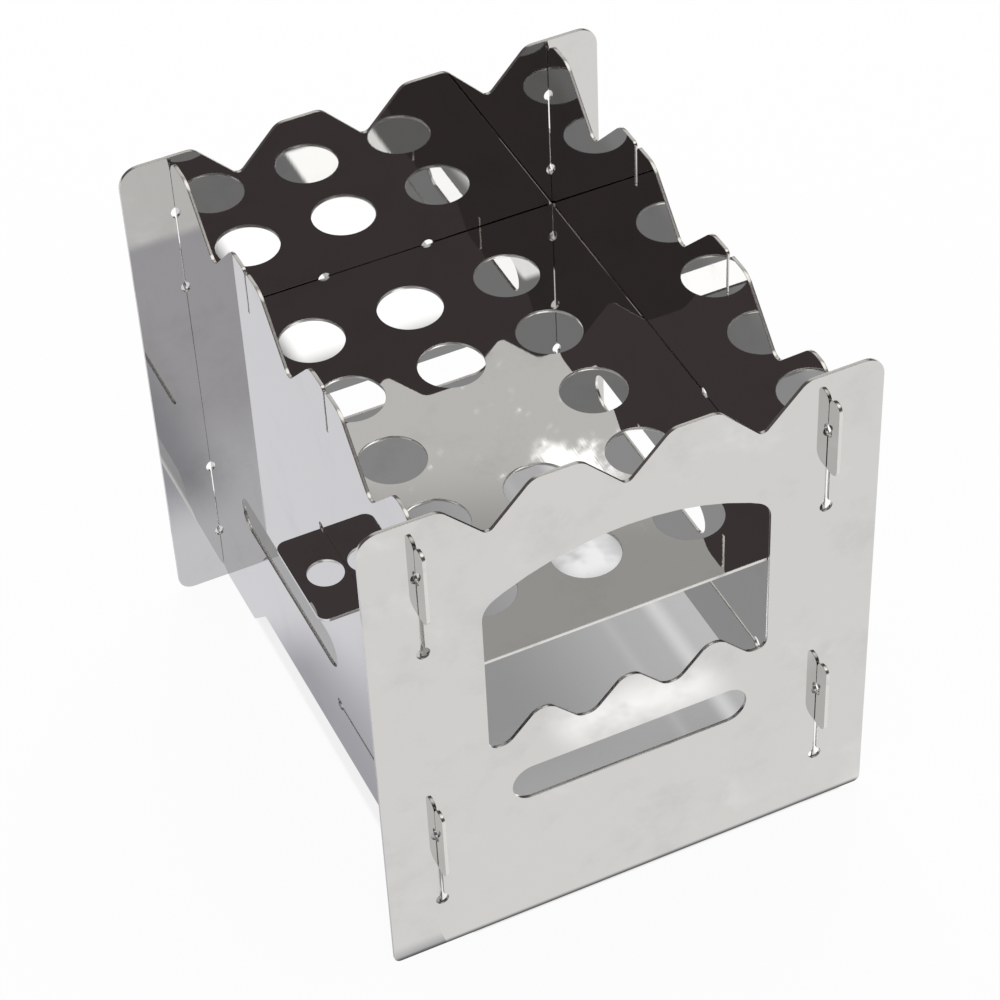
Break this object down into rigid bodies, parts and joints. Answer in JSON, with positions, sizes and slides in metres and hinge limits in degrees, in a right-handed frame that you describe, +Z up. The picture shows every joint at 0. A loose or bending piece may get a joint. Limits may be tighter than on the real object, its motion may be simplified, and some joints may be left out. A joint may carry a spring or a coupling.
{
  "type": "hobo stove",
  "caption": "Flat-pack box stove of slotted steel sheets with toothed tops, a stoking door, air slots and a fire grate with a pull handle.",
  "frame": {"origin": "on the ground under the middle of the stove", "axes": "+Z up, the stoking door faces -Y, and the grate's handle points along -X"},
  "size_m": [0.145, 0.1724, 0.16],
  "materials": {
    "panel_steel": "polished stainless steel sheet, mirror-like with faint waviness",
    "grate_steel": "polished stainless steel sheet"
  },
  "bodies": {
    "frame": {"back_panel": "panel_steel", "left_panel": "panel_steel", "right_panel": "panel_steel", "grate": "grate_steel"},
    "front": {"front_panel": "panel_steel"}
  },
  "joints": [
    {"name": "front_lift", "type": "slide", "parent": "frame", "child": "front", "axis": [0, 0, 1], "range_m": [0, 0.013]}
  ]
}
